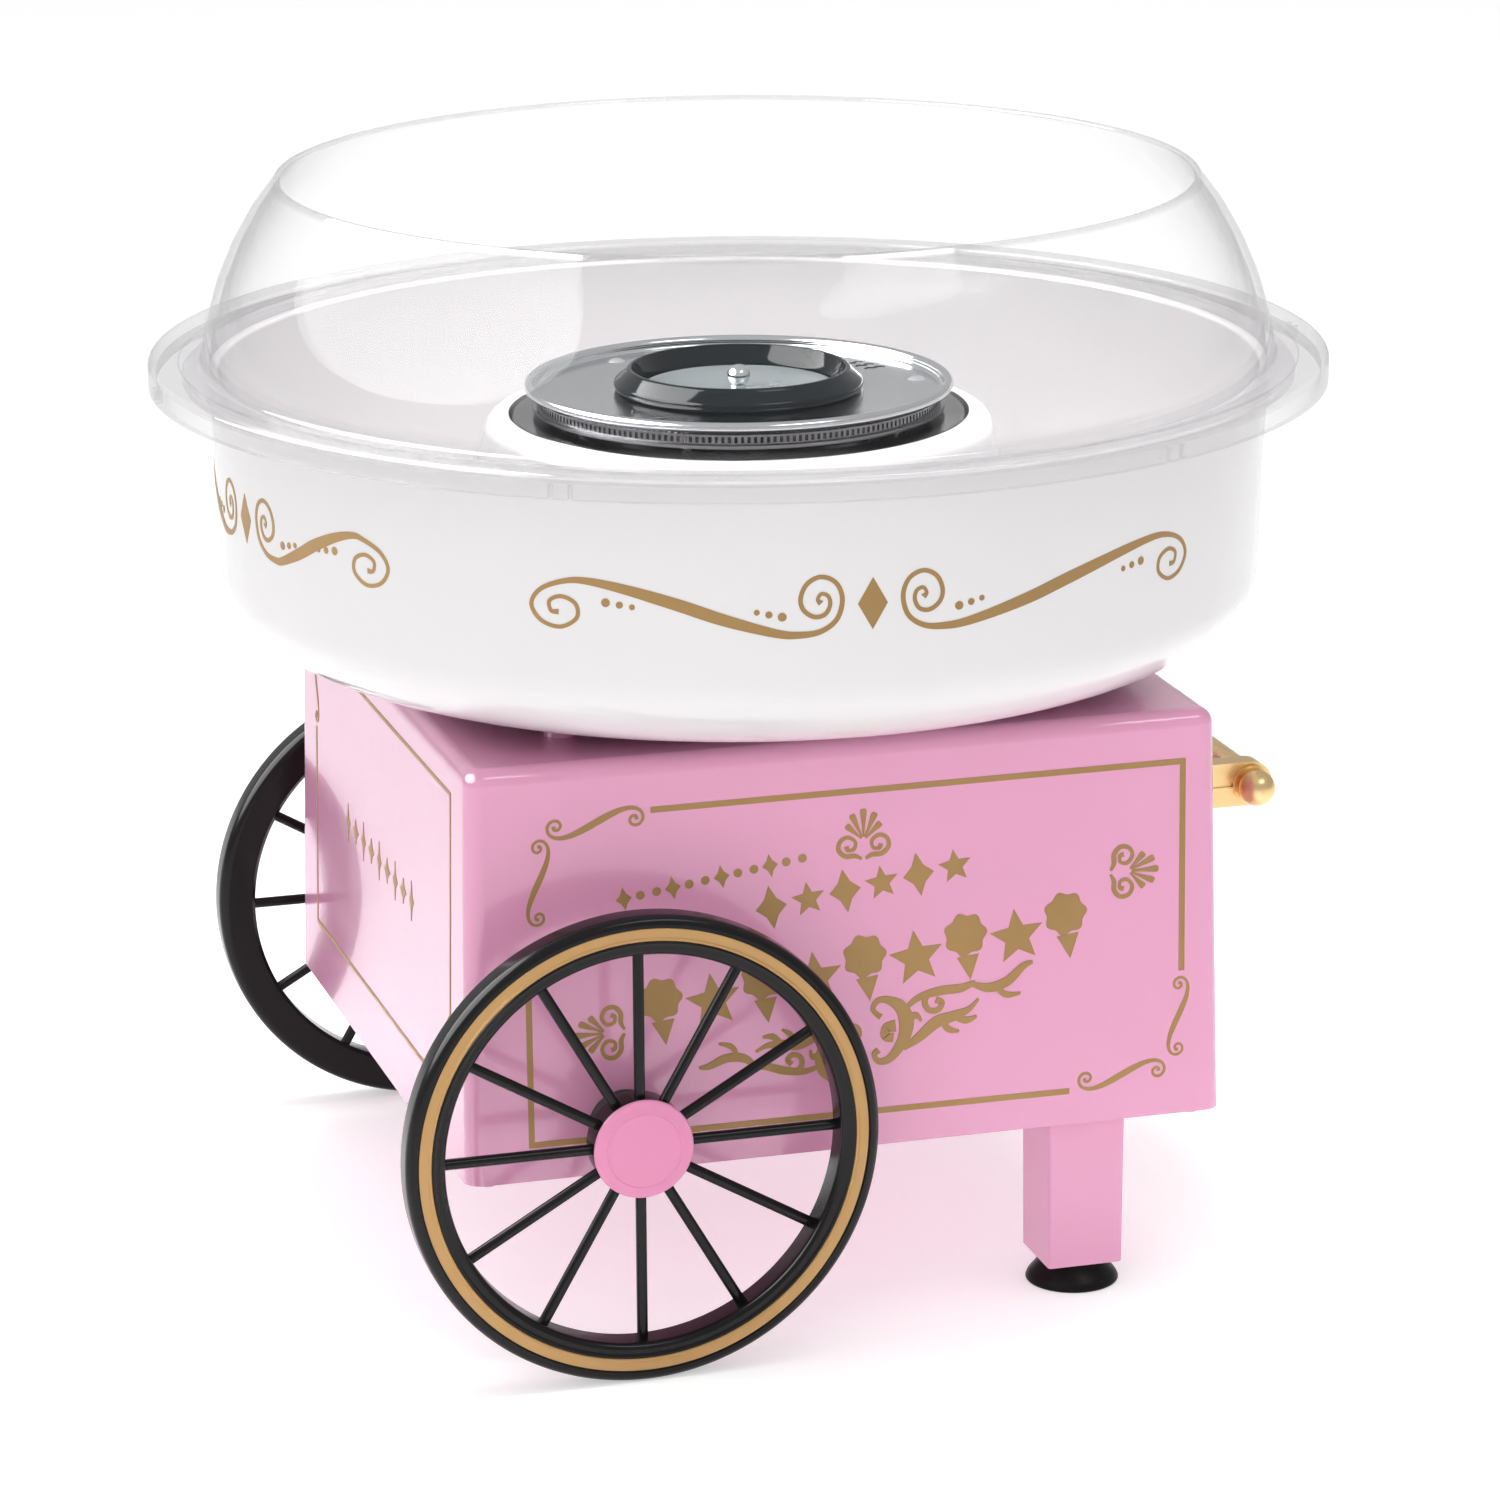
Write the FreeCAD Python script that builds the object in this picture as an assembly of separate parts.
import FreeCAD, Part
import math
import os
from FreeCAD import Placement, Rotation, Vector

# Cotton candy machine styled as a carnival cart. Millimetres, +Z up. The origin is on the ground
# under the bowl's axis, +X runs towards the push handle and the front face looks along -Y.

# Driving dimensions
GUARD_R = 149.0           # outer radius of the rim guard's flange, the widest part
GUARD_TOP = 274.5         # open upper edge of the rim guard
BOX_X = 194.8             # base box, at its lower edge
BOX_Y = 190.0
BOX_LOW = 46.8
BOX_TOP = 150.3
BOX_DRAFT = 2.16          # how far each side leans in over the box's height
BOX_WALL = 2.5
BOX_CORNER = 4.5
WHEEL_R = 59.0
WHEEL_X = -58.1
WHEEL_INNER = 107.0       # distance of the rim's inner face from the middle plane
WHEEL_OUTER = 115.9
AXLE_R = 3.0
SHAFT_R = 3.0
HANDLE_X = 116.3
HANDLE_Z = 121.2
BOWL_RIM_TOP = 226.8
BOWL_BOTTOM = 154.5
BOWL_SHELL = 2.2
HUB_TOP = 213.0           # crown of the bowl's central hub
HUB_HOLE_R = 58.5
PAN_R = 57.7
PAN_TOP = 212.7
HEAD_R = 54.5             # over the extractor head's rolled rim
PLATE_TOP = 218.5         # flat of the head's upper plate
RUNNING = 0.05            # radial clearance of a running fit
FREE = 0.05               # radial clearance of a screw or plug in its hole

FRONT = -1
REAR = 1
SIDES = (FRONT, REAR)


# Helpers

def cylinder(radius, low, high, x=0.0, y=0.0):
    return Part.makeCylinder(radius, high - low, Vector(x, y, low))


def ring(outer, inner, low, high, x=0.0, y=0.0):
    return cylinder(outer, low, high, x, y).cut(cylinder(inner, low - 1, high + 1, x, y))


def rod(start, end, radius):
    first = Vector(*start)
    direction = Vector(*end) - first
    return Part.makeCylinder(radius, direction.Length, first, direction)


def block(low, high):
    size = [b - a for a, b in zip(low, high)]
    return Part.makeBox(*size, Vector(*low))


def group(solids):
    return Part.makeCompound(list(solids))


def on_circle(radius, degrees):
    angle = math.radians(degrees)
    return radius * math.cos(angle), radius * math.sin(angle)


def moved(shape, offset, axis=(0, 0, 1), degrees=0.0):
    shape = shape.copy()
    shape.Placement = Placement(Vector(*offset), Rotation(Vector(*axis), degrees))
    return shape


def turned(*steps):
    """Solid of revolution about Z. A step (r, z) is a line, ((r, z), (r, z)) an arc through the
    first point to the second, and an edge is used as it is."""
    edges = []
    here = Vector(steps[0][0], 0, steps[0][1])
    for step in steps[1:] + steps[:1]:
        if isinstance(step, Part.Edge):
            edges.append(step)
            here = max((v.Point for v in step.Vertexes), key=here.distanceToPoint)
        elif isinstance(step[0], tuple):
            middle = Vector(step[0][0], 0, step[0][1])
            end = Vector(step[1][0], 0, step[1][1])
            edges.append(Part.Arc(here, middle, end).toShape())
            here = end
        else:
            end = Vector(step[0], 0, step[1])
            edges.append(Part.LineSegment(here, end).toShape())
            here = end
    face = Part.Face(Part.Wire(Part.__sortEdges__(edges)))
    return face.revolve(Vector(0, 0, 0), Vector(0, 0, 1), 360)


def dome(radius, low, rise):
    """Arc step from (radius, low) up to the axis, on a sphere centred on the axis."""
    sphere_r = (radius ** 2 + rise ** 2) / (2 * rise)
    centre = low + rise - sphere_r
    half = math.asin(min(1.0, radius / sphere_r)) / 2
    return (sphere_r * math.sin(half), centre + sphere_r * math.cos(half)), (0, low + rise)


def outward(shape, side, x, z):
    """Lay a shape made along +Z so that its Z runs outward from the middle plane on that side."""
    return moved(shape, (x, 0, z), (1, 0, 0), -90 * side)


def rounded_outline(half_x, half_y, z, corner):
    edges = []
    corners = ((1, 1), (-1, 1), (-1, -1), (1, -1))
    if corner == 0:
        points = [Vector(sign_x * half_x, sign_y * half_y, z) for sign_x, sign_y in corners]
        return Part.makePolygon(points + points[:1])
    for number, (sign_x, sign_y) in enumerate(corners):
        centre = Vector(sign_x * (half_x - corner), sign_y * (half_y - corner), z)
        start = 90 * number
        points = [centre + Vector(*on_circle(corner, start + turn), 0) for turn in (0, 45, 90)]
        edges.append(Part.Arc(*points).toShape())
    joined = []
    for number, edge in enumerate(edges):
        following = edges[(number + 1) % len(edges)]
        joined.append(edge)
        joined.append(Part.LineSegment(edge.Vertexes[-1].Point, following.Vertexes[0].Point).toShape())
    return Part.Wire(joined)


def tapered_block(half_x, half_y, low, high, draft, corner):
    outlines = [
        rounded_outline(half_x, half_y, low, corner),
        rounded_outline(half_x - draft, half_y - draft, high, corner),
    ]
    return Part.makeLoft(outlines, True, True)


def screw(head_r, head_high, shank_r, length):
    """Pan-head screw along +Z with the underside of its head at z = 0."""
    head = turned((0, -head_high), (head_r * 0.6, -head_high), (head_r, -head_high * 0.4),
                  (head_r, 0), (0, 0))
    return head.fuse(cylinder(shank_r, 0, length)).removeSplitter()


def wire_run(points, radius):
    """Round wire along straight runs joined by tangent arcs."""
    corners = [Vector(*point) for point in points]
    edges = []
    here = corners[0]
    for before, corner, after in zip(corners, corners[1:], corners[2:]):
        to_before = (before - corner).normalize()
        to_after = (after - corner).normalize()
        reach = 0.45 * min((before - corner).Length, (after - corner).Length)
        start = corner + to_before * reach
        end = corner + to_after * reach
        half_turn = (math.pi - to_before.getAngle(to_after)) / 2
        bend = reach / math.tan(half_turn)
        bisector = (to_before + to_after).normalize()
        middle = corner + bisector * (bend / math.cos(half_turn) - bend)
        edges.append(Part.LineSegment(here, start).toShape())
        edges.append(Part.Arc(start, middle, end).toShape())
        here = end
    edges.append(Part.LineSegment(here, corners[-1]).toShape())
    path = Part.Wire(edges)
    circle = Part.Wire(Part.makeCircle(radius, corners[0], corners[1] - corners[0]))
    return path.makePipeShell([circle], True, False)


def box_half_x(z):
    return BOX_X / 2 - BOX_DRAFT * (z - BOX_LOW) / (BOX_TOP - BOX_LOW)


def box_half_y(z):
    return BOX_Y / 2 - BOX_DRAFT * (z - BOX_LOW) / (BOX_TOP - BOX_LOW)


# Base box

CORNER_SCREW_X = BOX_X / 2 - 6.4
CORNER_SCREW_Y = BOX_Y / 2 - 6.4
CORNER_SCREWS = [(sx * CORNER_SCREW_X, sy * CORNER_SCREW_Y) for sx in (-1, 1) for sy in SIDES]
PLATE_THICK = 2.5
FLOOR_TOP = BOX_LOW + PLATE_THICK
SCREW_R = 1.5
BUSH_R = 5.2
TOP_EDGE_R = 4.0
SEAT_R = 92.0
SEAT_PAD_R = 4.0
TOWER_SCREW_R = 49.0
TOWER_SCREWS = [on_circle(TOWER_SCREW_R, 45 + 90 * k) for k in range(4)]
MOUNT_R = 25.0
MOTOR_MOUNTS = [on_circle(MOUNT_R, 90 + 120 * k) for k in range(3)]
MOUNT_SCREW_R = 2.0
ELEMENT_R = 40.0
LEAD_HOLE_R = 4.0
SWITCH_Z = 85.0
SWITCH_HALF_Y = 9.8
SWITCH_HALF_Z = 6.8
GLAND_X = 72.0
GLAND_Z = 66.0
GLAND_R = 6.0
ARM_Y = 60.0
ARM_THICK = 6.0


def base_housing():
    outer = tapered_block(BOX_X / 2, BOX_Y / 2, BOX_LOW, BOX_TOP, BOX_DRAFT, BOX_CORNER)
    top_edges = [e for e in outer.Edges if all(abs(v.Z - BOX_TOP) < 0.01 for v in e.Vertexes)]
    outer = outer.makeFillet(TOP_EDGE_R, top_edges)
    inner = tapered_block(BOX_X / 2 - BOX_WALL, BOX_Y / 2 - BOX_WALL, BOX_LOW,
                          BOX_TOP - BOX_WALL, BOX_DRAFT, 0)
    shell = outer.cut(inner)
    boss_top = FLOOR_TOP + 22
    bosses = [cylinder(4.5, FLOOR_TOP, boss_top, x, y) for x, y in CORNER_SCREWS]
    pads = [cylinder(SEAT_PAD_R, BOX_TOP - 1, BOWL_BOTTOM, *on_circle(SEAT_R, 45 + 90 * k))
            for k in range(4)]
    shell = shell.fuse(bosses + pads)
    holes = [cylinder(SCREW_R + FREE, FLOOR_TOP - 1, boss_top - 6, x, y) for x, y in CORNER_SCREWS]
    holes += [cylinder(SCREW_R + FREE, BOX_TOP - 10, BOX_TOP + 1, x, y) for x, y in TOWER_SCREWS]
    holes += [cylinder(MOUNT_SCREW_R + FREE, BOX_TOP - 10, BOX_TOP + 1, x, y)
              for x, y in MOTOR_MOUNTS]
    holes += [cylinder(LEAD_HOLE_R, BOX_TOP - 10, BOX_TOP + 1, *on_circle(ELEMENT_R, a))
              for a in (0, 180)]
    holes.append(cylinder(SHAFT_R * 2.5, BOX_TOP - 10, BOX_TOP + 1))
    holes.append(rod((WHEEL_X, -BOX_Y, WHEEL_R), (WHEEL_X, BOX_Y, WHEEL_R), BUSH_R + FREE))
    holes.append(rod((GLAND_X, 0, GLAND_Z), (GLAND_X, BOX_Y, GLAND_Z), GLAND_R + FREE))
    holes += [rod((BOX_X / 2 - 20, side * ARM_Y, HANDLE_Z), (BOX_X, side * ARM_Y, HANDLE_Z),
                  SCREW_R + FREE) for side in SIDES]
    holes.append(block((BOX_X / 2 - 20, -SWITCH_HALF_Y - FREE, SWITCH_Z - SWITCH_HALF_Z - FREE),
                       (BOX_X, SWITCH_HALF_Y + FREE, SWITCH_Z + SWITCH_HALF_Z + FREE)))
    return shell.cut(holes).removeSplitter()


LEG_X = 63.1
LEG_Y = 80.3
BOARD_X = (8.0, 58.0)
BOARD_Y = (-18.0, 18.0)
BOARD_LOW = 57.0
BOARD_THICK = 1.6
STANDOFFS = [(x, y) for x in (BOARD_X[0] + 4, BOARD_X[1] - 4) for y in (BOARD_Y[0] + 4, BOARD_Y[1] - 4)]


def bottom_plate():
    gap = 0.3
    outline = rounded_outline(BOX_X / 2 - BOX_WALL - gap, BOX_Y / 2 - BOX_WALL - gap, BOX_LOW, 0)
    plate = Part.Face(outline).extrude(Vector(0, 0, PLATE_THICK))
    holes = [cylinder(SCREW_R + FREE, BOX_LOW - 1, FLOOR_TOP + 1, x, y) for x, y in CORNER_SCREWS]
    holes += [cylinder(SCREW_R + FREE, BOX_LOW - 1, FLOOR_TOP + 1, LEG_X, side * LEG_Y)
              for side in SIDES]
    slot_length = 44.0
    for number in range(7):
        x = -42 + 7 * number
        holes.append(block((x, -slot_length / 2, BOX_LOW - 1), (x + 3, slot_length / 2, FLOOR_TOP + 1)))
    return plate.cut(holes)


def base_screws():
    length = 16.0
    return group(moved(screw(3.2, 2.0, SCREW_R, length), (x, y, BOX_LOW)) for x, y in CORNER_SCREWS)


# Legs and feet

LEG_LOW = 7.0
LEG_HALF_X = 10.0
LEG_HALF_Y = 10.5
LEG_TAPER = 0.25
LEG_WALL = 2.0
FOOT_R = 11.75
STEM_R = 2.5
STEM_TOP = 13.0
LEG_SCREW_LENGTH = 12.0


def leg(side):
    high = BOX_LOW
    outer = tapered_block(LEG_HALF_X - LEG_TAPER, LEG_HALF_Y - LEG_TAPER, LEG_LOW, high,
                          -LEG_TAPER, 0.8)
    inner = tapered_block(LEG_HALF_X - LEG_TAPER - LEG_WALL, LEG_HALF_Y - LEG_TAPER - LEG_WALL,
                          LEG_LOW + 3, high + 1, -LEG_TAPER, 0.4)
    post = cylinder(4, LEG_LOW + 1, high)
    solid = outer.cut(inner).fuse(post)
    solid = solid.cut(cylinder(STEM_R + FREE, LEG_LOW - 1, STEM_TOP + 0.5))
    solid = solid.cut(cylinder(SCREW_R + FREE, high - LEG_SCREW_LENGTH - 2, high + 1))
    return moved(solid.removeSplitter(), (LEG_X, side * LEG_Y, 0))


def foot(side):
    cup = turned((0, 3.0), (2.0, 3.0), ((7.4, 2.1), (10.6, 0)), (FOOT_R, 0), (FOOT_R, 0.9),
                 ((11.3, 1.9), (10.7, 2.7)), (8.0, LEG_LOW), (STEM_R, LEG_LOW), (STEM_R, STEM_TOP),
                 (0, STEM_TOP))
    return moved(cup, (LEG_X, side * LEG_Y, 0))


def leg_screws():
    pan = screw(3.2, 2.0, SCREW_R, LEG_SCREW_LENGTH)
    return group(moved(pan, (LEG_X, side * LEG_Y, FLOOR_TOP), (1, 0, 0), 180) for side in SIDES)


# Wheels

RIM_INNER_R = 49.2
HUB_R = 12.2
HUB_INNER = 104.5
HUB_OUTER = 112.9
HUB_RECESS_R = 9.0
HUB_RECESS_FLOOR = 107.5
SPOKE_R = 1.35
SPOKE_COUNT = 12
AXLE_END = 110.0
BUSH_INNER = 90.0


def axle():
    return rod((WHEEL_X, -AXLE_END, WHEEL_R), (WHEEL_X, AXLE_END, WHEEL_R), AXLE_R)


def axle_bushes():
    flange_low = BOX_Y / 2
    bush = turned((AXLE_R + FREE, BUSH_INNER), (BUSH_R, BUSH_INNER), (BUSH_R, flange_low),
                  (9.0, flange_low), (7.0, HUB_INNER - 0.3), (AXLE_R + FREE, HUB_INNER - 0.3))
    return group(outward(bush, side, WHEEL_X, WHEEL_R) for side in SIDES)


def axle_clips():
    clip = ring(6.5, AXLE_R + FREE, HUB_RECESS_FLOOR + 0.3, HUB_RECESS_FLOOR + 1.3)
    return group(outward(clip, side, WHEEL_X, WHEEL_R) for side in SIDES)


def wheel_rim(side):
    edge = 2.4
    inner, outer = WHEEL_INNER, WHEEL_OUTER
    bevel = edge * (1 - math.sqrt(0.5))
    rim = turned((RIM_INNER_R, inner + 1), (RIM_INNER_R + 1, inner), (WHEEL_R - edge, inner),
                 ((WHEEL_R - bevel, inner + bevel), (WHEEL_R, inner + edge)),
                 (WHEEL_R, outer - edge),
                 ((WHEEL_R - bevel, outer - bevel), (WHEEL_R - edge, outer)),
                 (RIM_INNER_R + 1.6, outer),
                 ((RIM_INNER_R + 0.5, outer - 0.5), (RIM_INNER_R, outer - 1.6)))
    return outward(rim, side, WHEEL_X, WHEEL_R)


def wheel_hub(side):
    hub = turned((AXLE_R + RUNNING, HUB_INNER), (HUB_R - 1, HUB_INNER), (HUB_R, HUB_INNER + 1),
                 (HUB_R, HUB_OUTER - 0.8), (HUB_R - 0.8, HUB_OUTER), (HUB_RECESS_R, HUB_OUTER),
                 (HUB_RECESS_R, HUB_RECESS_FLOOR), (AXLE_R + RUNNING, HUB_RECESS_FLOOR))
    return outward(hub, side, WHEEL_X, WHEEL_R)


def wheel_spokes(side):
    middle = (WHEEL_INNER + HUB_OUTER) / 2
    between = ring(RIM_INNER_R, HUB_R, HUB_INNER, WHEEL_OUTER)
    spokes = []
    for number in range(SPOKE_COUNT):
        angle = 360 / SPOKE_COUNT * number
        start = (*on_circle(HUB_R - 1, angle), middle)
        end = (*on_circle(RIM_INNER_R + 1, angle), middle)
        spokes.append(rod(start, end, SPOKE_R).common(between))
    return outward(group(solid for spoke in spokes for solid in spoke.Solids), side, WHEEL_X, WHEEL_R)


def hub_cap(side):
    seat = HUB_OUTER
    cap = turned((0, AXLE_END + 0.5), (HUB_RECESS_R - 1.6, AXLE_END + 0.5),
                 (HUB_RECESS_R - FREE, AXLE_END + 0.8), (HUB_RECESS_R - FREE, seat),
                 (12.4, seat), (12.4, seat + 0.6), ((11.7, seat + 1.2), (9.2, seat + 1.5)),
                 dome(9.2, seat + 1.5, 0.4))
    return outward(cap, side, WHEEL_X, WHEEL_R)


# Push handle

BAR_R = 4.2
ARM_HALF = 5.7


def handle_bar():
    end = ARM_Y + ARM_THICK / 2
    return rod((HANDLE_X, -end, HANDLE_Z), (HANDLE_X, end, HANDLE_Z), BAR_R)


def handle_arm(side):
    start_x = box_half_x(HANDLE_Z - ARM_HALF) + 0.03
    low_y = side * ARM_Y - ARM_THICK / 2
    straight = block((start_x, low_y, HANDLE_Z - ARM_HALF),
                     (HANDLE_X, low_y + ARM_THICK, HANDLE_Z + ARM_HALF))
    end = rod((HANDLE_X, low_y, HANDLE_Z), (HANDLE_X, low_y + ARM_THICK, HANDLE_Z), ARM_HALF)
    arm = straight.fuse(end).removeSplitter()
    bar_hole = rod((HANDLE_X, low_y - 1, HANDLE_Z), (HANDLE_X, low_y + ARM_THICK + 1, HANDLE_Z),
                   BAR_R + FREE)
    screw_hole = rod((start_x - 1, side * ARM_Y, HANDLE_Z), (start_x + 10, side * ARM_Y, HANDLE_Z),
                     SCREW_R + FREE)
    face_y = side * (ARM_Y + ARM_THICK / 2)
    groove = block((start_x - 1, face_y - 0.5, HANDLE_Z - 0.5),
                   (HANDLE_X - BAR_R, face_y + 0.5, HANDLE_Z + 0.5))
    return arm.cut([bar_hole, screw_hole, groove])


def finial(side):
    start = ARM_Y + ARM_THICK / 2 + 0.05
    ball_r = 4.6
    ball_low = 3.0
    neck_r = math.sqrt(ball_r ** 2 - ball_low ** 2)
    centre = start + 1.2 + ball_low
    knob = turned((0, start), (5.0, start), (5.0, start + 1.2), (neck_r, start + 1.2),
                  ((ball_r, centre), (0, centre + ball_r)))
    return outward(knob, side, HANDLE_X, HANDLE_Z)


def handle_screws():
    inside = box_half_x(HANDLE_Z) - BOX_WALL - 0.25
    pan = screw(3.2, 2.0, SCREW_R, 11.0)
    return group(moved(pan, (inside, side * ARM_Y, HANDLE_Z), (0, 1, 0), 90) for side in SIDES)


# Switch, cord entry and board

ROCKER_HALF_Y = 8.0
ROCKER_HALF_Z = 5.0
ROCKER_PIVOT_X = BOX_X / 2 - 1.2
ROCKER_TILT = 7.0
PIVOT_R = 1.0


def switch_body():
    face = BOX_X / 2 - 0.6
    body = block((face - 14, -SWITCH_HALF_Y, SWITCH_Z - SWITCH_HALF_Z),
                 (face + 0.5, SWITCH_HALF_Y, SWITCH_Z + SWITCH_HALF_Z))
    bezel = block((face, -SWITCH_HALF_Y - 1.6, SWITCH_Z - SWITCH_HALF_Z - 1.6),
                  (face + 1.2, SWITCH_HALF_Y + 1.6, SWITCH_Z + SWITCH_HALF_Z + 1.6))
    bezel_edges = [e for e in bezel.Edges if e.BoundBox.XMin > face + 1.1]
    bezel = bezel.makeChamfer(0.5, bezel_edges)
    well = block((ROCKER_PIVOT_X - 5, -ROCKER_HALF_Y - 0.3, SWITCH_Z - ROCKER_HALF_Z - 0.6),
                 (face + 5, ROCKER_HALF_Y + 0.3, SWITCH_Z + ROCKER_HALF_Z + 0.6))
    pivot = rod((ROCKER_PIVOT_X, -ROCKER_HALF_Y - 1.2, SWITCH_Z),
                (ROCKER_PIVOT_X, ROCKER_HALF_Y + 1.2, SWITCH_Z), PIVOT_R + RUNNING)
    tabs = [block((face - 20, y - 2, SWITCH_Z - 0.4), (face - 13.5, y + 2, SWITCH_Z + 0.4))
            for y in (-5, 5)]
    return body.fuse([bezel] + tabs).cut([well, pivot]).removeSplitter()


def switch_rocker():
    profile = [(-2.0, -ROCKER_HALF_Z), (2.6, -ROCKER_HALF_Z), (1.0, 0), (2.6, ROCKER_HALF_Z),
               (-2.0, ROCKER_HALF_Z)]
    corners = [Vector(x, -ROCKER_HALF_Y, z) for x, z in profile]
    face = Part.Face(Part.makePolygon(corners + corners[:1]))
    rocker = face.extrude(Vector(0, 2 * ROCKER_HALF_Y, 0))
    pins = rod((0, -ROCKER_HALF_Y - 1.0, 0), (0, ROCKER_HALF_Y + 1.0, 0), PIVOT_R)
    rocker = rocker.fuse(pins).removeSplitter()
    return moved(rocker, (ROCKER_PIVOT_X, 0, SWITCH_Z), (0, 1, 0), -ROCKER_TILT)


GLAND_INNER = 86.0
GLAND_OUTER = 97.5
GLAND_BORE_R = 3.6


def cord_gland():
    flange_low = box_half_y(GLAND_Z - 8) + 0.03
    bush = turned((GLAND_BORE_R, GLAND_INNER), (GLAND_R, GLAND_INNER), (GLAND_R, flange_low),
                  (8.5, flange_low), (8.5, GLAND_OUTER - 0.8), (7.7, GLAND_OUTER),
                  (GLAND_BORE_R, GLAND_OUTER))
    return outward(bush, REAR, GLAND_X, GLAND_Z)


def circuit_board():
    board = block((BOARD_X[0], BOARD_Y[0], BOARD_LOW), (BOARD_X[1], BOARD_Y[1], BOARD_LOW + BOARD_THICK))
    return board.cut([cylinder(1.2 + FREE, BOARD_LOW - 1, BOARD_LOW + 3, x, y) for x, y in STANDOFFS])


def board_standoffs():
    return group(ring(3.0, 1.2 + FREE, FLOOR_TOP, BOARD_LOW, x, y) for x, y in STANDOFFS)


def board_screws():
    top = BOARD_LOW + BOARD_THICK
    pan = screw(2.2, 1.4, 1.2, 7.0)
    return group(moved(pan, (x, y, top), (1, 0, 0), 180) for x, y in STANDOFFS)


def board_parts():
    top = BOARD_LOW + BOARD_THICK
    middle_x = sum(BOARD_X) / 2
    diodes = [rod((x, -4, top + 1.5), (x, 4, top + 1.5), 1.5) for x in
              (middle_x - 10, middle_x - 5, middle_x, middle_x + 5)]
    capacitor = cylinder(4.5, top, top + 11, middle_x + 13, 9)
    terminals = block((middle_x + 10, -14, top), (middle_x + 18, -2, top + 8))
    return group(diodes + [capacitor, terminals])


# Motor and spindle

CAN_R = 17.5
CAN_LOW = 98.0
CAN_TOP = 141.2
BEARING_R = 4.5
MAGNET_INNER = 13.8


def motor_can():
    can = turned((BEARING_R + 0.02, CAN_TOP), (CAN_R, CAN_TOP), (CAN_R, CAN_LOW + 1.5),
                 (CAN_R - 1.5, CAN_LOW + 1.5), (CAN_R - 1.5, CAN_TOP - 1.5), (6.5, CAN_TOP - 1.5),
                 (6.5, CAN_TOP - 6), (BEARING_R + 0.02, CAN_TOP - 6))
    return can.cut([cylinder(SCREW_R + FREE, CAN_TOP - 5, CAN_TOP + 1, x, 0) for x in (-11, 11)])


def motor_end_cap():
    return turned((BEARING_R + 0.02, CAN_LOW - 5), (7.0, CAN_LOW - 5), (7.0, CAN_LOW),
                  (CAN_R, CAN_LOW), (CAN_R, CAN_LOW + 1.5), (BEARING_R + 0.02, CAN_LOW + 1.5))


def motor_bearings():
    spans = ((CAN_TOP - 6, CAN_TOP), (CAN_LOW - 5, CAN_LOW + 1))
    return group(ring(BEARING_R, SHAFT_R + RUNNING, low, high) for low, high in spans)


def motor_magnets():
    tube = ring(CAN_R - 1.55, MAGNET_INNER, CAN_LOW + 8, CAN_TOP - 8)
    gap = block((-CAN_R, -5, CAN_LOW), (CAN_R, 5, CAN_TOP))
    return tube.cut(gap)


def motor_rotor():
    core = ring(MAGNET_INNER - 0.8, SHAFT_R + 0.02, CAN_LOW + 12, CAN_TOP - 12)
    slots = []
    for number in range(7):
        slot = block((5.5, -1.6, CAN_LOW + 11), (11.5, 1.6, CAN_TOP - 11))
        slots.append(moved(slot, (0, 0, 0), (0, 0, 1), 360 / 7 * number))
    commutator = ring(5.0, SHAFT_R + 0.02, CAN_LOW + 4, CAN_LOW + 12)
    return core.cut(slots).fuse(commutator).removeSplitter()


PIN_Z = 210.0
PIN_R = 1.2
PIN_HALF = 7.0
SHAFT_LOW = 91.0
BALL_R = 3.0
BALL_Z = 221.7


def motor_shaft():
    neck_r = 2.1
    shaft = turned((0, SHAFT_LOW), (SHAFT_R, SHAFT_LOW), (SHAFT_R, 217.2), (neck_r, 218.0),
                   (neck_r, BALL_Z - math.sqrt(BALL_R ** 2 - neck_r ** 2)),
                   ((BALL_R, BALL_Z), (0, BALL_Z + BALL_R)))
    return shaft.cut(rod((-10, 0, PIN_Z), (10, 0, PIN_Z), PIN_R + 0.02))


def drive_pin():
    return rod((-PIN_HALF, 0, PIN_Z), (PIN_HALF, 0, PIN_Z), PIN_R)


def cooling_fan():
    low, high = 160.0, 170.0
    hub = ring(7.0, SHAFT_R + 0.02, low, high)
    blades = []
    for number in range(7):
        blade = block((5.5, -0.6, -6.5), (34, 0.6, 6.5))
        blade = moved(blade, (0, 0, 0), (1, 0, 0), 55)
        blade = moved(group([blade]), (0, 0, (low + high) / 2), (0, 0, 1), 360 / 7 * number)
        blades.append(blade.Solids[0])
    return hub.fuse(blades).cut(cylinder(SHAFT_R + 0.02, low - 5, high + 5)).removeSplitter()


BRACKET_LOW = CAN_TOP
BRACKET_THICK = 1.5


def motor_bracket():
    high = BRACKET_LOW + BRACKET_THICK
    plate = cylinder(MOUNT_R + 6, BRACKET_LOW, high)
    holes = [cylinder(MOUNT_SCREW_R + FREE, BRACKET_LOW - 1, high + 1, x, y) for x, y in MOTOR_MOUNTS]
    holes += [cylinder(SCREW_R + FREE, BRACKET_LOW - 1, high + 1, x, 0) for x in (-11, 11)]
    holes.append(cylinder(6.0, BRACKET_LOW - 1, high + 1))
    return plate.cut(holes)


def motor_grommets():
    low = BRACKET_LOW + BRACKET_THICK
    high = BOX_TOP - BOX_WALL
    return group(ring(5.5, MOUNT_SCREW_R + FREE, low, high, x, y) for x, y in MOTOR_MOUNTS)


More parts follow.
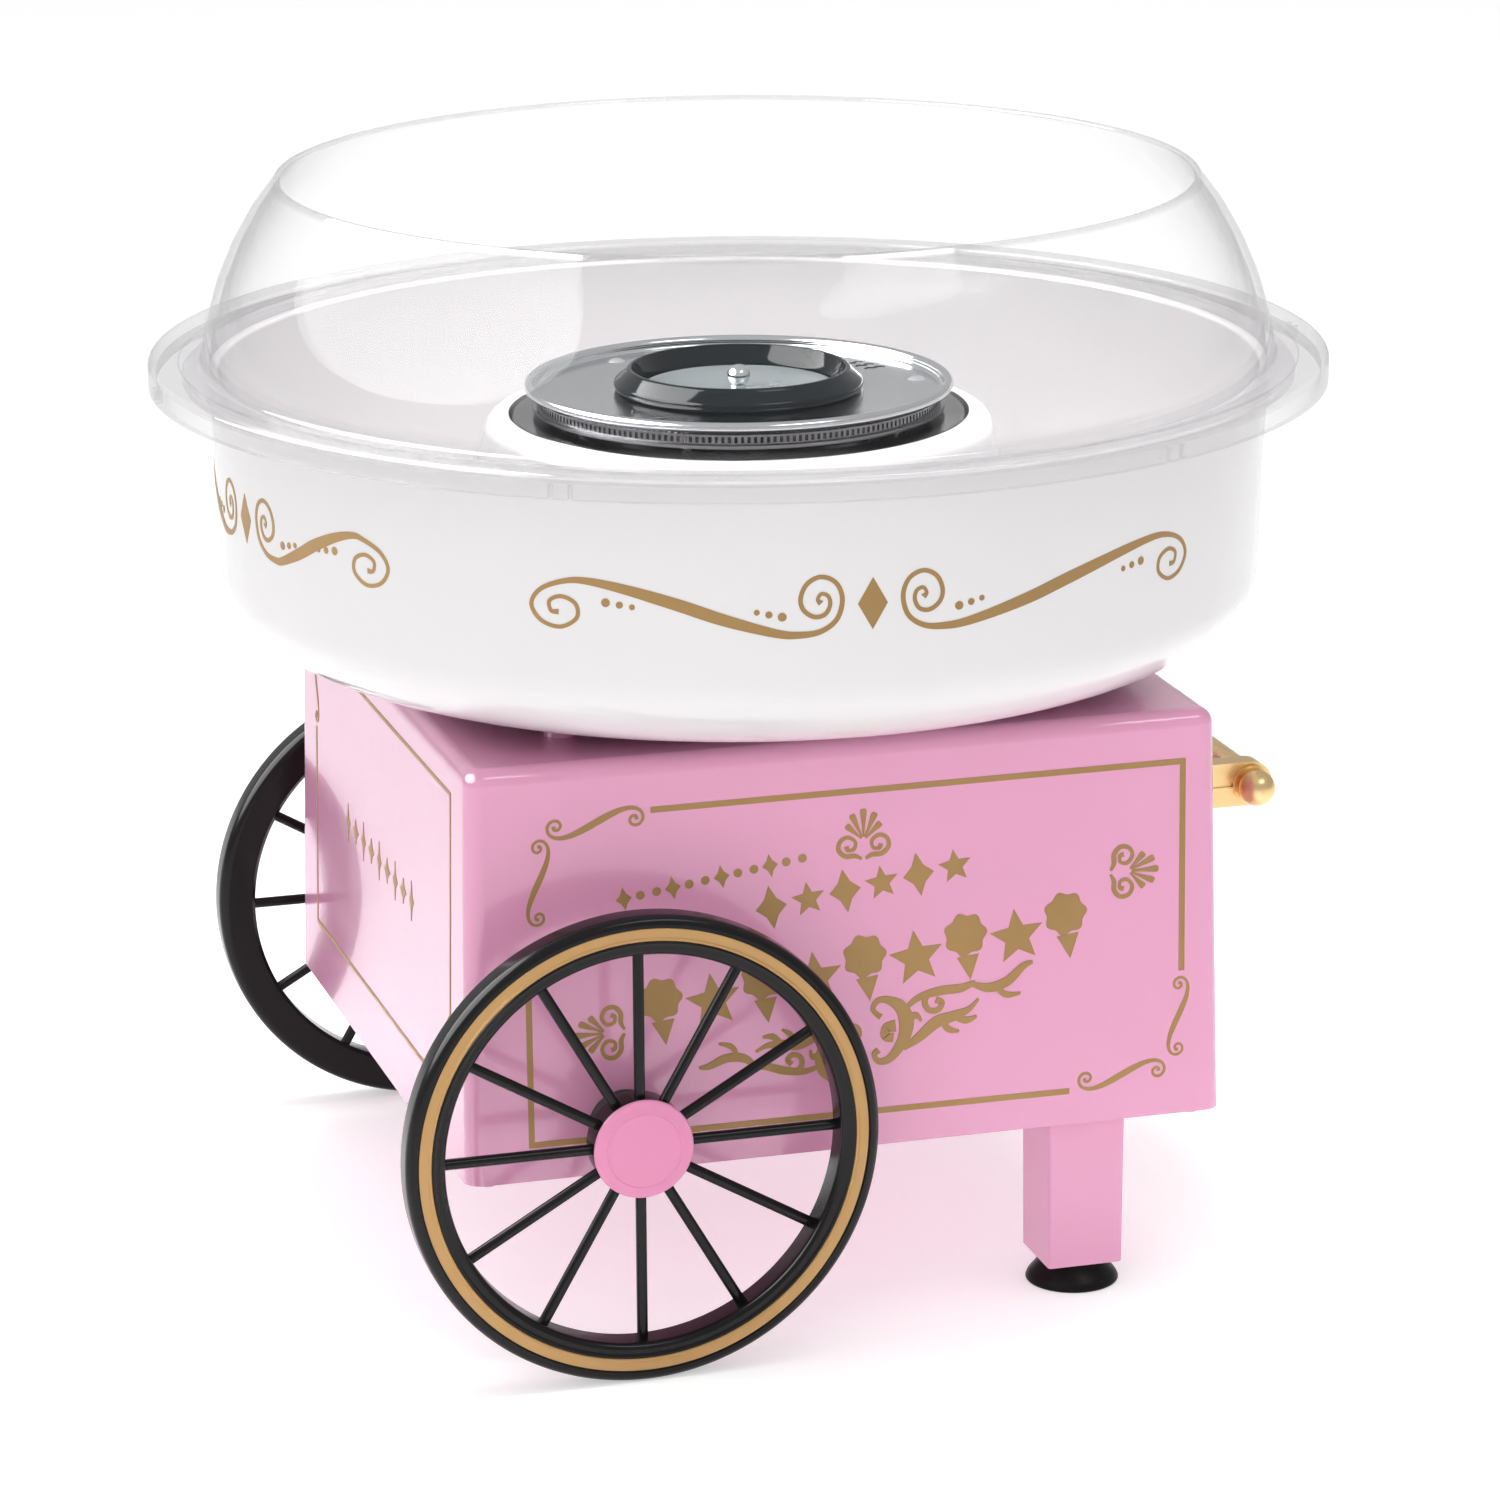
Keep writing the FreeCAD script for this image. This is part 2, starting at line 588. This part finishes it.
def motor_screws():
    high = BRACKET_LOW + BRACKET_THICK
    mounts = [moved(screw(3.6, 2.2, MOUNT_SCREW_R, 9.0), (x, y, BRACKET_LOW)) for x, y in MOTOR_MOUNTS]
    fixings = [moved(screw(2.8, 1.6, SCREW_R, 4.0), (x, 0, high), (1, 0, 0), 180) for x in (-11, 11)]
    return group(mounts + fixings)


# Heater, fixed to the base and standing up through the bowl's hub

TOWER_R = 55.8
TOWER_WALL = 2.0
PAN_THICK = 1.2
WELL_R = 50.0
WELL_FLOOR = 202.0
ELEMENT_WIRE_R = 2.0
ELEMENT_Z = 207.2
INSULATORS = [on_circle(ELEMENT_R, 90 * k) for k in range(4)]


def heater_tower():
    high = PAN_TOP - PAN_THICK
    tower = turned((TOWER_R, BOX_TOP), (TOWER_R, high), (TOWER_R - TOWER_WALL, high),
                   (TOWER_R - TOWER_WALL, BOX_TOP + 3), (44.5, BOX_TOP + 3), (44.5, BOX_TOP))
    return tower.cut([cylinder(SCREW_R + FREE, BOX_TOP - 1, BOX_TOP + 4, x, y) for x, y in TOWER_SCREWS])


def tower_screws():
    inside = BOX_TOP - BOX_WALL
    return group(moved(screw(3.2, 2.0, SCREW_R, 8.0), (x, y, inside)) for x, y in TOWER_SCREWS)


def heater_pan():
    pan = turned((PAN_R, PAN_TOP), (PAN_R, PAN_TOP - 3.0), (PAN_R - PAN_THICK, PAN_TOP - 3.0),
                 (PAN_R - PAN_THICK, PAN_TOP - PAN_THICK), (WELL_R + 1.2, PAN_TOP - PAN_THICK),
                 (WELL_R, WELL_FLOOR + 1.2), (WELL_R - 1.2, WELL_FLOOR), (9.0, WELL_FLOOR),
                 (9.0, WELL_FLOOR + PAN_THICK), (WELL_R - 2.4, WELL_FLOOR + PAN_THICK),
                 (WELL_R - 1.2, WELL_FLOOR + 2.4), (WELL_R, PAN_TOP))
    return pan.cut([cylinder(3.3, WELL_FLOOR - 1, WELL_FLOOR + 3, x, y) for x, y in INSULATORS])


def heater_element():
    coil = Part.makeTorus(ELEMENT_R, ELEMENT_WIRE_R, Vector(0, 0, ELEMENT_Z))
    ends = [cylinder(1.2, 194, ELEMENT_Z - 1, x, 0) for x in (-ELEMENT_R, ELEMENT_R)]
    return coil.fuse(ends)


def ceramic_insulators():
    high = ELEMENT_Z - ELEMENT_WIRE_R
    bush = turned((1.5, 198.0), (3.2, 198.0), (3.2, WELL_FLOOR + PAN_THICK),
                  (5.0, WELL_FLOOR + PAN_THICK), (5.0, high), (1.5, high))
    return group(moved(bush, (x, y, 0)) for x, y in INSULATORS)


def thermal_cutout():
    puck = cylinder(7.0, WELL_FLOOR - 5, WELL_FLOOR, 0, 24)
    tabs = [block((x - 0.4, 22, WELL_FLOOR - 11), (x + 0.4, 26, WELL_FLOOR - 4)) for x in (-4, 4)]
    return puck.fuse(tabs)


# Extractor head

RIM_TUBE_R = 1.3
PLATE_THICKNESS = 0.8
COLLAR_R = 31.7
COLLAR_INNER = 25.8
COLLAR_TOP = 224.3
MESH_R = 51.6
LOWER_FLANGE = 214.4
HEAD_HUB_R = 8.0
HEAD_HUB_LOW = 206.5
CUP_LOW = 215.2
RIVET_R = 46.5
RIVETS = [on_circle(RIVET_R, -4.4 + 121 * k) for k in range(3)]


def head_upper_plate():
    tube_r = HEAD_R - RIM_TUBE_R
    plate = turned((COLLAR_INNER + 1.2, PLATE_TOP - PLATE_THICKNESS), (51.6, PLATE_TOP - PLATE_THICKNESS),
                   (53.6, 219.4), (53.0, 220.4), (51.0, PLATE_TOP), (COLLAR_INNER + 1.2, PLATE_TOP))
    rim = Part.makeTorus(tube_r, RIM_TUBE_R, Vector(0, 0, 220.0))
    plate = plate.fuse(rim).removeSplitter()
    return plate.cut([cylinder(1.2 + FREE, 210, 222, x, y) for x, y in RIVETS])


def head_collar():
    lip_r = COLLAR_INNER + 1.4
    foot_r = COLLAR_INNER - 0.6
    return turned((COLLAR_INNER + 1.2, PLATE_TOP), (COLLAR_R - 1.6, PLATE_TOP),
                  ((COLLAR_R - 0.1, 219.6), (COLLAR_R - 0.4, 221.2)),
                  (lip_r + 1.4, COLLAR_TOP - 0.7),
                  ((lip_r + 1.0, COLLAR_TOP - 0.2), (lip_r + 0.4, COLLAR_TOP)),
                  (lip_r, COLLAR_TOP - 0.1), ((lip_r - 0.9, 221.8), (foot_r, PLATE_TOP + 1.0)),
                  (foot_r, PLATE_TOP + 0.4))


def head_cup():
    edge = 24.2
    return turned((SHAFT_R + RUNNING + 0.01, CUP_LOW), (HEAD_HUB_R, CUP_LOW),
                  ((16.5, 216.4), (edge, 218.6)), (edge, 219.4),
                  ((16.5, 217.2), (HEAD_HUB_R, CUP_LOW + 0.8)),
                  (SHAFT_R + RUNNING + 0.01, CUP_LOW + 0.8))


def head_lower_plate():
    low = 210.4
    plate = turned((HEAD_HUB_R + 0.02, low), (39.0, low), (MESH_R - 1.6, LOWER_FLANGE),
                   (52.4, LOWER_FLANGE), (52.4, LOWER_FLANGE + PLATE_THICKNESS),
                   (MESH_R - 1.9, LOWER_FLANGE + PLATE_THICKNESS), (38.7, low + PLATE_THICKNESS),
                   (HEAD_HUB_R + 0.02, low + PLATE_THICKNESS))
    return plate.cut([cylinder(1.2 + FREE, 205, 222, x, y) for x, y in RIVETS])


def head_mesh():
    low = LOWER_FLANGE + PLATE_THICKNESS
    high = PLATE_TOP - PLATE_THICKNESS
    band = ring(MESH_R - 0.4, MESH_R - 0.9, low, high)
    slots = []
    for number in range(48):
        slot = block((MESH_R - 3, -1.0, low + 0.5), (MESH_R + 2, 1.0, high - 0.5))
        slots.append(moved(slot, (0, 0, 0), (0, 0, 1), 360 / 48 * number))
    return band.cut(slots)


def head_hub():
    hub = ring(HEAD_HUB_R, SHAFT_R + RUNNING, HEAD_HUB_LOW, CUP_LOW)
    slot_top = PIN_Z + PIN_R + 0.1
    slot = block((-HEAD_HUB_R - 1, -PIN_R - 0.15, HEAD_HUB_LOW - 1),
                 (HEAD_HUB_R + 1, PIN_R + 0.15, slot_top))
    return hub.cut(slot)


def head_rivets():
    button = turned((0, 212.0), (1.2, 212.0), (1.2, PLATE_TOP), (2.3, PLATE_TOP),
                    dome(2.3, PLATE_TOP, 0.9))
    return group(moved(button, (x, y, 0)) for x, y in RIVETS)


# Bowl

BOWL_RIM_R = 140.5
BOWL_WALL_TOP_R = 133.6
BOWL_WALL_R = 132.4       # where the wall meets the corner curve
CORNER_WIDE = 36.0
CORNER_HIGH = 22.0
HUB_LEAN = 12.0           # degrees of the hub's cone from upright
HUB_FOOT_R = 12.0
HUB_CROWN_R = 5.0


def corner_edge(wide, high):
    centre = Vector(BOWL_WALL_R - CORNER_WIDE, 0, BOWL_BOTTOM + CORNER_HIGH)
    ellipse = Part.Ellipse(centre + Vector(wide, 0, 0), centre - Vector(0, 0, high), centre)
    return Part.ArcOfEllipse(ellipse, 0, math.pi / 2).toShape()


def hub_points(below):
    """Points of the hub's upper face, or of its lower face for below = shell thickness."""
    lean = math.radians(HUB_LEAN)
    normal = (math.cos(lean), math.sin(lean))
    half = (math.cos((lean + math.pi / 2) / 2), math.sin((lean + math.pi / 2) / 2))
    crown = (HUB_HOLE_R + 1.5, HUB_TOP - HUB_CROWN_R)
    foot_z = BOWL_BOTTOM + BOWL_SHELL + HUB_FOOT_R
    foot_x = crown[0] + (HUB_FOOT_R + HUB_CROWN_R - (foot_z - crown[1]) * normal[1]) / normal[0]
    crown_r = HUB_CROWN_R - below
    foot_r = HUB_FOOT_R + below
    crown_top = (crown[0], crown[1] + crown_r)
    crown_middle = (crown[0] + crown_r * half[0], crown[1] + crown_r * half[1])
    crown_side = (crown[0] + crown_r * normal[0], crown[1] + crown_r * normal[1])
    foot_side = (foot_x - foot_r * normal[0], foot_z - foot_r * normal[1])
    foot_middle = (foot_x - foot_r * half[0], foot_z - foot_r * half[1])
    foot_low = (foot_x, foot_z - foot_r)
    return crown_top, crown_middle, crown_side, foot_side, foot_middle, foot_low


def bowl():
    wall_foot = BOWL_BOTTOM + CORNER_HIGH
    upper = hub_points(0)
    lower = hub_points(BOWL_SHELL)
    edge = BOWL_WALL_R - CORNER_WIDE
    outline = [
        (HUB_HOLE_R, HUB_TOP), upper[0], (upper[1], upper[2]), upper[3], (upper[4], upper[5]),
        (edge, BOWL_BOTTOM + BOWL_SHELL),
        corner_edge(CORNER_WIDE - BOWL_SHELL, CORNER_HIGH - BOWL_SHELL),
        (BOWL_WALL_TOP_R - BOWL_SHELL, BOWL_RIM_TOP - 1.0),
        (BOWL_WALL_TOP_R - BOWL_SHELL + 1.0, BOWL_RIM_TOP),
        (BOWL_RIM_R - 0.6, BOWL_RIM_TOP), (BOWL_RIM_R, BOWL_RIM_TOP - 0.6),
        (BOWL_RIM_R, BOWL_RIM_TOP - 2.0), (BOWL_WALL_TOP_R, BOWL_RIM_TOP - 2.0),
        (BOWL_WALL_R, wall_foot), corner_edge(CORNER_WIDE, CORNER_HIGH),
        lower[5], (lower[4], lower[3]), lower[2], (lower[1], lower[0]),
        (HUB_HOLE_R, HUB_TOP - BOWL_SHELL),
    ]
    return turned(*outline)


# Rim guard

GUARD_WALL = 2.0
GUARD_FLANGE_TOP = 228.8
GUARD_SKIRT_LOW = 223.4
GUARD_FOOT_R = 135.5
GUARD_MOUTH_R = 116.0
CLIP_START = -122.4
CLIP_COUNT = 6


def rim_guard():
    band_top = GUARD_FLANGE_TOP + 1.0
    guard = turned((GUARD_FOOT_R - GUARD_WALL, BOWL_RIM_TOP), (GUARD_R - GUARD_WALL, BOWL_RIM_TOP),
                   (GUARD_R - GUARD_WALL, GUARD_SKIRT_LOW), (GUARD_R, GUARD_SKIRT_LOW),
                   (GUARD_R, band_top - 1.5), ((GUARD_R - 0.4, band_top - 0.4), (GUARD_R - 1.5, band_top)),
                   (141.8, band_top), (141.2, GUARD_FLANGE_TOP), (137.0, GUARD_FLANGE_TOP),
                   ((GUARD_FOOT_R + 0.4, GUARD_FLANGE_TOP + 0.5), (GUARD_FOOT_R, GUARD_FLANGE_TOP + 1.5)),
                   ((129.0, 253.8), (GUARD_MOUTH_R, GUARD_TOP)),
                   (GUARD_MOUTH_R - GUARD_WALL * 0.8, GUARD_TOP - 1.0),
                   ((127.2, 252.8), (GUARD_FOOT_R - GUARD_WALL, GUARD_FLANGE_TOP + 1.5)))
    slits = []
    for number in range(CLIP_COUNT):
        middle = CLIP_START + 360 / CLIP_COUNT * number
        for sideways in (-2.4, 2.4):
            slit = block((GUARD_R - 3.2, sideways - 0.4, GUARD_SKIRT_LOW - 1),
                         (GUARD_R + 1, sideways + 0.4, BOWL_RIM_TOP))
            slits.append(moved(slit, (0, 0, 0), (0, 0, 1), middle))
    return guard.cut(slits)


# Inner wiring, bundled in sleeves

def wiring():
    board_top = BOARD_LOW + BOARD_THICK + 0.1
    supply = [(GLAND_X, 84, GLAND_Z), (GLAND_X, 66, GLAND_Z), (60, 42, 72), (48, 20, 80),
              (47, -2, 80), (47, -4, 67)]
    switch = [(76, 5, SWITCH_Z), (66, 6, 84), (57, 0, 82), (49, -9, 78), (48, -10, 67)]
    motor = [(9, 4, 97.8), (9, 4, 86), (14, 2, 76), (28, -10, 74), (30, -12, 70),
             (30, -12, board_top)]
    cold_lead = [(-ELEMENT_R, 0, 193.8), (-ELEMENT_R - 0.3, 0.3, 170), (-ELEMENT_R, 0, 146),
                 (-34, 6, 118), (-26, 10, 92), (-8, 16, 80), (14, 15, 74),
                 (16, 14, 68), (16, 14, board_top)]
    hot_lead = [(ELEMENT_R, 0, 193.8), (ELEMENT_R + 0.3, 0.3, 170), (ELEMENT_R, 0, 146),
                (37, 6, 118), (29, 13, 84), (28, 14, 70), (28, 14, board_top)]
    runs = [supply, switch, motor, cold_lead, hot_lead]
    return group(wire_run(points, 1.4) for points in runs)


PARTS = {
    "base_housing": base_housing,
    "bottom_plate": bottom_plate,
    "base_screws": base_screws,
    "front_leg": lambda: leg(FRONT),
    "rear_leg": lambda: leg(REAR),
    "front_foot": lambda: foot(FRONT),
    "rear_foot": lambda: foot(REAR),
    "leg_screws": leg_screws,
    "axle": axle,
    "axle_bushes": axle_bushes,
    "axle_clips": axle_clips,
    "front_wheel_rim": lambda: wheel_rim(FRONT),
    "rear_wheel_rim": lambda: wheel_rim(REAR),
    "front_wheel_hub": lambda: wheel_hub(FRONT),
    "rear_wheel_hub": lambda: wheel_hub(REAR),
    "front_wheel_spokes": lambda: wheel_spokes(FRONT),
    "rear_wheel_spokes": lambda: wheel_spokes(REAR),
    "front_hub_cap": lambda: hub_cap(FRONT),
    "rear_hub_cap": lambda: hub_cap(REAR),
    "handle_bar": handle_bar,
    "front_handle_arm": lambda: handle_arm(FRONT),
    "rear_handle_arm": lambda: handle_arm(REAR),
    "front_finial": lambda: finial(FRONT),
    "rear_finial": lambda: finial(REAR),
    "handle_screws": handle_screws,
    "switch_body": switch_body,
    "switch_rocker": switch_rocker,
    "cord_gland": cord_gland,
    "circuit_board": circuit_board,
    "board_standoffs": board_standoffs,
    "board_screws": board_screws,
    "board_parts": board_parts,
    "motor_can": motor_can,
    "motor_end_cap": motor_end_cap,
    "motor_bearings": motor_bearings,
    "motor_magnets": motor_magnets,
    "motor_rotor": motor_rotor,
    "motor_shaft": motor_shaft,
    "drive_pin": drive_pin,
    "cooling_fan": cooling_fan,
    "motor_bracket": motor_bracket,
    "motor_grommets": motor_grommets,
    "motor_screws": motor_screws,
    "heater_tower": heater_tower,
    "tower_screws": tower_screws,
    "heater_pan": heater_pan,
    "heater_element": heater_element,
    "ceramic_insulators": ceramic_insulators,
    "thermal_cutout": thermal_cutout,
    "head_upper_plate": head_upper_plate,
    "head_collar": head_collar,
    "head_cup": head_cup,
    "head_lower_plate": head_lower_plate,
    "head_mesh": head_mesh,
    "head_hub": head_hub,
    "head_rivets": head_rivets,
    "bowl": bowl,
    "rim_guard": rim_guard,
    "wiring": wiring,
}

os.makedirs("parts", exist_ok=True)
for name, build in PARTS.items():
    build().exportStep(f"parts/{name}.step")
